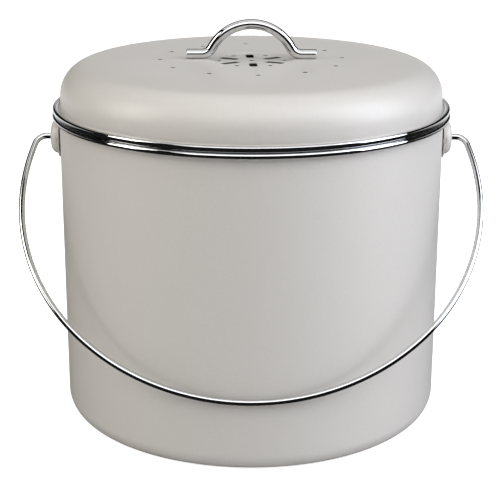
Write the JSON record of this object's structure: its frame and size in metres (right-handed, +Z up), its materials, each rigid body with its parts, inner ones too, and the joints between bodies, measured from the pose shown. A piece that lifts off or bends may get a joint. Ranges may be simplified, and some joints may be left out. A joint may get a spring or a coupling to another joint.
{
  "type": "compost caddy",
  "caption": "Round painted steel kitchen caddy with a vented lift-off lid, bright beads round the mouth, a bent rod lid handle, a swinging wire handle, a loose liner and a charcoal filter.",
  "frame": {"origin": "middle of the base, on the ground", "axes": "+Z up; -Y is the front, where the carrying handle hangs; +X is to the right seen from the front, along the handle's pivot"},
  "size_m": [0.2636, 0.228, 0.2294],
  "materials": {
    "paint": "satin stone-coloured powder coat with a fine speckle",
    "bright": "polished",
    "zinc": "zinc-plated",
    "liner": "moulded, matt",
    "filter_case": "moulded, matt",
    "seal": "soft, matt",
    "charcoal": "charcoal felt"
  },
  "bodies": {
    "bin": {"bin_shell": "paint", "bin_trim_ring": "bright", "ear_left": "paint", "ear_right": "paint", "ear_screws_left": "zinc", "ear_screws_right": "zinc", "liner_bucket": "liner"},
    "carrying_handle": {"bail_wire": "bright", "bail_clips": "zinc"},
    "lid": {"lid_shell": "paint", "lid_trim_ring": "bright", "lid_collar": "zinc", "lid_seal": "seal", "lid_handle": "bright", "handle_washers": "zinc", "handle_screws": "zinc", "filter_holder": "filter_case"},
    "filter_cap": {"filter_cover": "filter_case", "filter_pad": "charcoal"}
  },
  "joints": [
    {"name": "lid_lift", "type": "slide", "parent": "bin", "child": "lid", "axis": [0, 0, 1], "range_m": [0, 0.15]},
    {"name": "handle_swing", "type": "hinge", "parent": "bin", "child": "carrying_handle", "pos_m": [0, 0, 0.1616], "axis": [-1, 0, 0], "range_deg": [0, 273.3]},
    {"name": "filter_cap_twist", "type": "hinge", "parent": "lid", "child": "filter_cap", "pos_m": [0, 0, 0.19], "axis": [0, 0, 1], "range_deg": [0, 25]}
  ]
}
